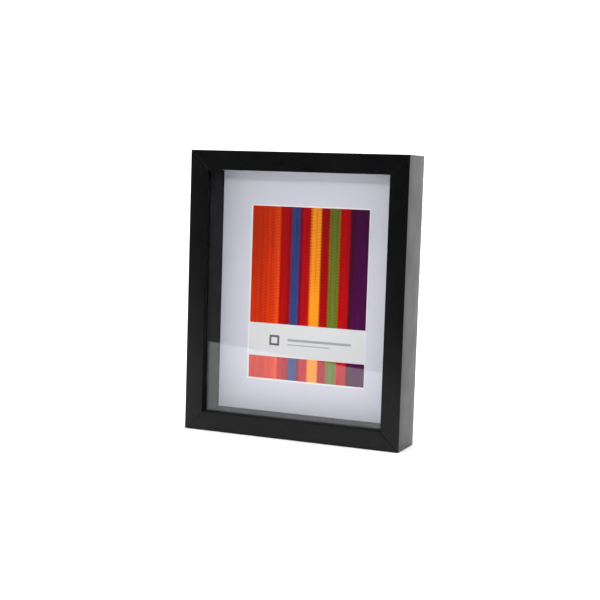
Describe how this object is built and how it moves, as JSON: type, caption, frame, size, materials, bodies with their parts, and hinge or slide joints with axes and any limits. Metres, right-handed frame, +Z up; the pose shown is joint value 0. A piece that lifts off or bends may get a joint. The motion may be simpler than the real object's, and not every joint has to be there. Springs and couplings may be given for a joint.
{
  "type": "shadow box frame",
  "caption": "Deep black wooden shadow box with glass, lined sides, a bevel-cut mat over a striped print, and a back board held by turn buttons; stands or hangs either way up.",
  "frame": {"origin": "middle of the bottom rail's underside, where the box stands", "axes": "+Z up along the height, -Y out through the glass, +X to the viewer's right"},
  "size_m": [0.228, 0.0502, 0.281],
  "materials": {
    "black_foil": "satin black foil over fibreboard",
    "nail_steel": "bare steel",
    "clear_glass": "clear float glass",
    "black_lining": "satin black lining strips",
    "white_mat": "matte white mat board",
    "print_paper": "printed paper with coloured stripes",
    "grey_card": "grey card",
    "brown_board": "plain hardboard",
    "button_steel": "zinc-plated steel",
    "screw_steel": "zinc-plated steel",
    "strap_steel": "nickel-plated steel",
    "rivet_steel": "nickel-plated steel",
    "ring_wire": "nickel-plated wire"
  },
  "bodies": {
    "frame": {"rail_top": "black_foil", "rail_bottom": "black_foil", "rail_left": "black_foil", "rail_right": "black_foil", "v_nail_top_left": "nail_steel", "v_nail_top_right": "nail_steel", "v_nail_bottom_left": "nail_steel", "v_nail_bottom_right": "nail_steel", "pivot_screw_left_upper": "screw_steel", "pivot_screw_left_lower": "screw_steel", "pivot_screw_right_upper": "screw_steel", "pivot_screw_right_lower": "screw_steel", "pivot_screw_top": "screw_steel", "pivot_screw_bottom": "screw_steel"},
    "glazing": {"glass_pane": "clear_glass"},
    "lining": {"spacer_top": "black_lining", "spacer_bottom": "black_lining", "spacer_left": "black_lining", "spacer_right": "black_lining"},
    "mat": {"mat_board": "white_mat"},
    "print": {"insert_print": "print_paper"},
    "filler": {"filler_card": "grey_card"},
    "back": {"back_board": "brown_board", "hanger_portrait_strap": "strap_steel", "hanger_portrait_rivet": "rivet_steel", "hanger_landscape_strap": "strap_steel", "hanger_landscape_rivet": "rivet_steel"},
    "portrait_ring": {"hanger_portrait_ring": "ring_wire"},
    "landscape_ring": {"hanger_landscape_ring": "ring_wire"},
    "button_left_upper": {"turn_button_left_upper": "button_steel"},
    "button_left_lower": {"turn_button_left_lower": "button_steel"},
    "button_right_upper": {"turn_button_right_upper": "button_steel"},
    "button_right_lower": {"turn_button_right_lower": "button_steel"},
    "button_top": {"turn_button_top": "button_steel"},
    "button_bottom": {"turn_button_bottom": "button_steel"}
  },
  "joints": [
    {"name": "glass_lifts_out", "type": "slide", "parent": "frame", "child": "glazing", "axis": [0, 1, 0], "range_m": [0, 0.045]},
    {"name": "lining_lifts_out", "type": "slide", "parent": "glazing", "child": "lining", "axis": [0, 1, 0], "range_m": [0, 0.045]},
    {"name": "mat_lifts_out", "type": "slide", "parent": "lining", "child": "mat", "axis": [0, 1, 0], "range_m": [0, 0.045]},
    {"name": "print_lifts_out", "type": "slide", "parent": "mat", "child": "print", "axis": [0, 1, 0], "range_m": [0, 0.045]},
    {"name": "filler_lifts_out", "type": "slide", "parent": "print", "child": "filler", "axis": [0, 1, 0], "range_m": [0, 0.045]},
    {"name": "back_lifts_out", "type": "slide", "parent": "filler", "child": "back", "axis": [0, 1, 0], "range_m": [0, 0.045]},
    {"name": "button_left_upper_turns", "type": "hinge", "parent": "frame", "child": "button_left_upper", "pos_m": [-0.10825, 0.0233, 0.2255], "axis": [0, -1, 0], "continuous": true},
    {"name": "button_left_lower_turns", "type": "hinge", "parent": "frame", "child": "button_left_lower", "pos_m": [-0.10825, 0.0233, 0.0555], "axis": [0, -1, 0], "continuous": true},
    {"name": "button_right_upper_turns", "type": "hinge", "parent": "frame", "child": "button_right_upper", "pos_m": [0.10825, 0.0233, 0.2255], "axis": [0, 1, 0], "continuous": true},
    {"name": "button_right_lower_turns", "type": "hinge", "parent": "frame", "child": "button_right_lower", "pos_m": [0.10825, 0.0233, 0.0555], "axis": [0, 1, 0], "continuous": true},
    {"name": "button_top_turns", "type": "hinge", "parent": "frame", "child": "button_top", "pos_m": [0, 0.0233, 0.27525], "axis": [0, 1, 0], "continuous": true},
    {"name": "button_bottom_turns", "type": "hinge", "parent": "frame", "child": "button_bottom", "pos_m": [0, 0.0233, 0.00575], "axis": [0, -1, 0], "continuous": true},
    {"name": "portrait_ring_swings", "type": "hinge", "parent": "back", "child": "portrait_ring", "pos_m": [0, 0.0241, 0.241], "axis": [1, 0, 0], "range_deg": [0, 168]},
    {"name": "landscape_ring_swings", "type": "hinge", "parent": "back", "child": "landscape_ring", "pos_m": [0.074, 0.0241, 0.1405], "axis": [0, 0, -1], "range_deg": [0, 168]}
  ]
}
